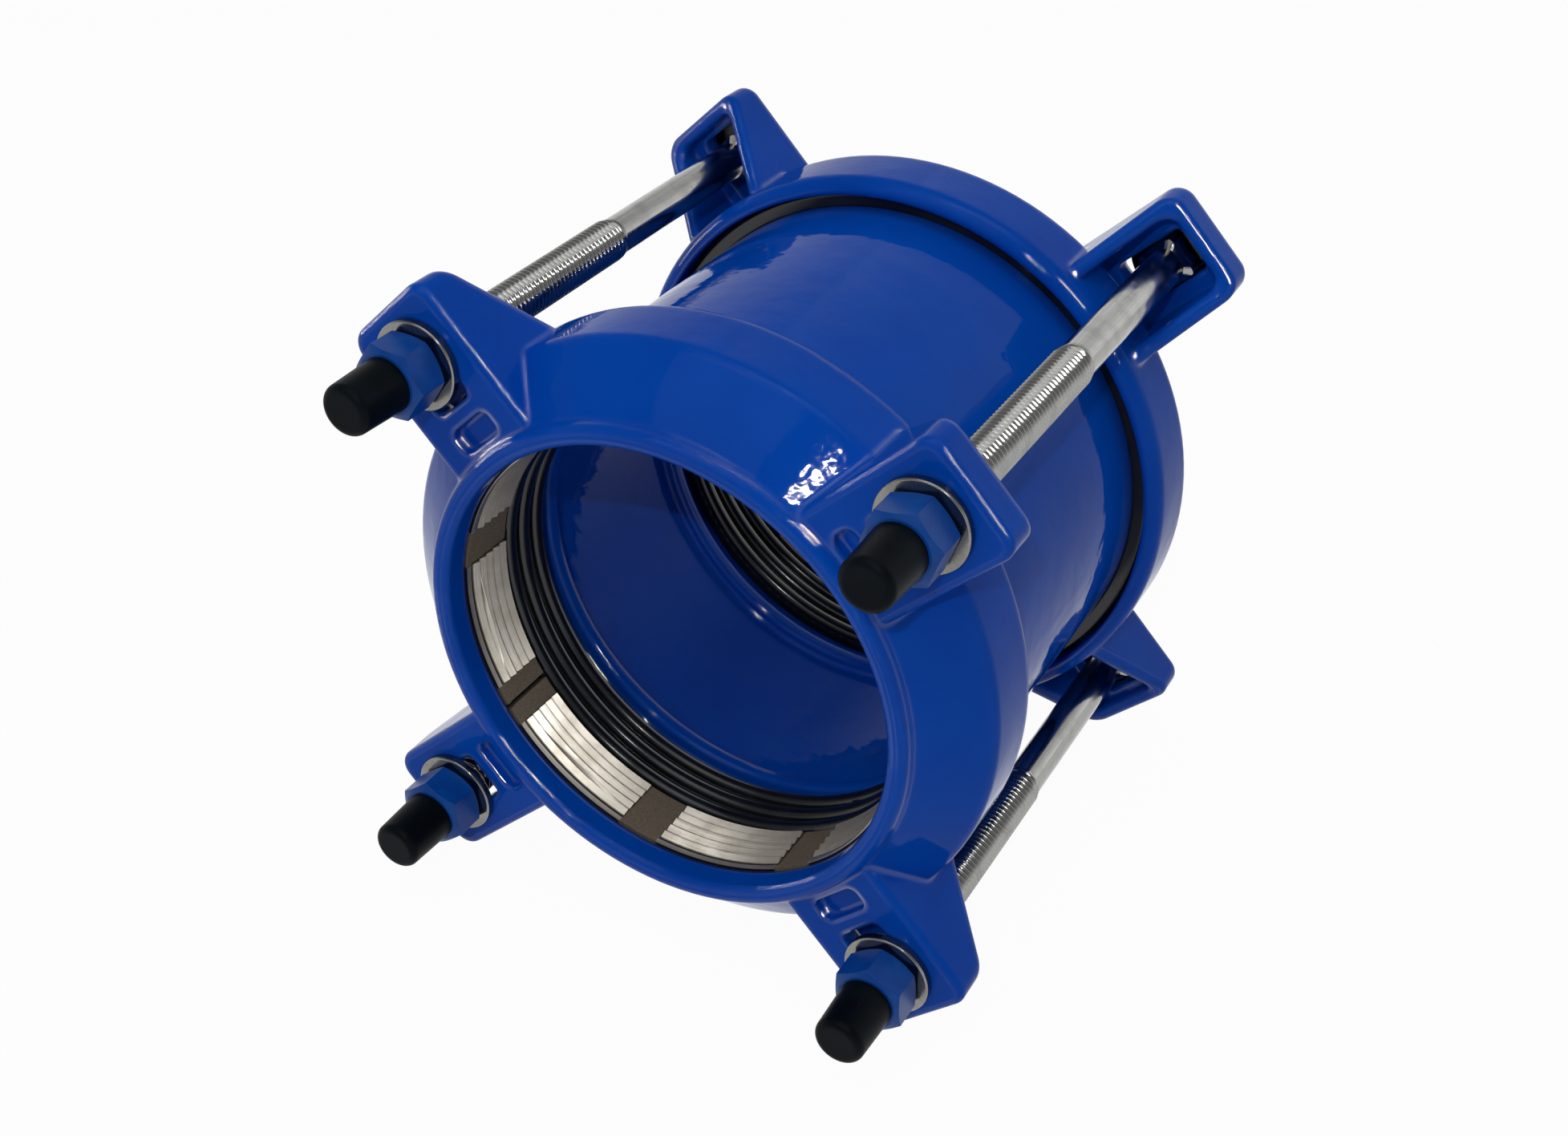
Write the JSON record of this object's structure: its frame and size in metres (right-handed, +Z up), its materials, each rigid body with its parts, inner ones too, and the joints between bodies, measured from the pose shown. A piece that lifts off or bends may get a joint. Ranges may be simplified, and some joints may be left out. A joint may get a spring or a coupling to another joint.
{
  "type": "restrained pipe coupling",
  "caption": "Blue restrained pipe coupling: a sleeve between two lugged end rings drawn together by long bolts, with rubber gaskets and toothed brass grip rings inside.",
  "frame": {"origin": "on the bore's axis, halfway along the sleeve", "axes": "+Y along the bore towards the bolt heads, nuts at the -Y end; +Z up, lugs at 45 degrees to X and Z"},
  "size_m": [0.1786, 0.195, 0.1786],
  "materials": {
    "blue_epoxy": "glossy epoxy over cast iron",
    "bright_steel": "bright zinc",
    "nut_coating": "satin blue thread coating",
    "brass": "machined, plain cast pads",
    "black_rubber": "satin moulded",
    "black_plastic": "matt moulded"
  },
  "bodies": {
    "rear": {"rear_end_ring": "blue_epoxy", "rear_grip_ring": "brass", "bolt_1": "bright_steel", "bolt_2": "bright_steel", "bolt_3": "bright_steel", "bolt_4": "bright_steel"},
    "front": {"front_end_ring": "blue_epoxy", "front_grip_ring": "brass", "washer_1": "bright_steel", "washer_2": "bright_steel", "washer_3": "bright_steel", "washer_4": "bright_steel"},
    "sleeve": {"sleeve": "blue_epoxy", "front_gasket": "black_rubber", "rear_gasket": "black_rubber"},
    "nut_1": {"nut_1": "nut_coating"},
    "cap_1": {"cap_1": "black_plastic"},
    "nut_2": {"nut_2": "nut_coating"},
    "cap_2": {"cap_2": "black_plastic"},
    "nut_3": {"nut_3": "nut_coating"},
    "cap_3": {"cap_3": "black_plastic"},
    "nut_4": {"nut_4": "nut_coating"},
    "cap_4": {"cap_4": "black_plastic"}
  },
  "joints": [
    {"name": "front_slide", "type": "slide", "parent": "rear", "child": "front", "axis": [0, -1, 0], "range_m": [0, 0.012]},
    {"name": "sleeve_slide", "type": "slide", "parent": "rear", "child": "sleeve", "axis": [0, -1, 0], "range_m": [0, 0.006]},
    {"name": "nut_1_turn", "type": "hinge", "parent": "front", "child": "nut_1", "pos_m": [0.06873, -0.0874, 0.06873], "axis": [0, -1, 0], "range_deg": [0, 2469]},
    {"name": "cap_1_pull", "type": "slide", "parent": "front", "child": "cap_1", "axis": [0, -1, 0], "range_m": [0, 0.016]},
    {"name": "nut_2_turn", "type": "hinge", "parent": "front", "child": "nut_2", "pos_m": [-0.06873, -0.0874, 0.06873], "axis": [0, -1, 0], "range_deg": [0, 2469]},
    {"name": "cap_2_pull", "type": "slide", "parent": "front", "child": "cap_2", "axis": [0, -1, 0], "range_m": [0, 0.016]},
    {"name": "nut_3_turn", "type": "hinge", "parent": "front", "child": "nut_3", "pos_m": [-0.06873, -0.0874, -0.06873], "axis": [0, -1, 0], "range_deg": [0, 2469]},
    {"name": "cap_3_pull", "type": "slide", "parent": "front", "child": "cap_3", "axis": [0, -1, 0], "range_m": [0, 0.016]},
    {"name": "nut_4_turn", "type": "hinge", "parent": "front", "child": "nut_4", "pos_m": [0.06873, -0.0874, -0.06873], "axis": [0, -1, 0], "range_deg": [0, 2469]},
    {"name": "cap_4_pull", "type": "slide", "parent": "front", "child": "cap_4", "axis": [0, -1, 0], "range_m": [0, 0.016]}
  ],
  "couplings": [
    {"joint": "sleeve_slide", "follows": "front_slide", "ratio": 0.5},
    {"joint": "nut_1_turn", "follows": "front_slide", "rad_per_m": 3590.4},
    {"joint": "nut_2_turn", "follows": "front_slide", "rad_per_m": 3590.4},
    {"joint": "nut_3_turn", "follows": "front_slide", "rad_per_m": 3590.4},
    {"joint": "nut_4_turn", "follows": "front_slide", "rad_per_m": 3590.4}
  ]
}
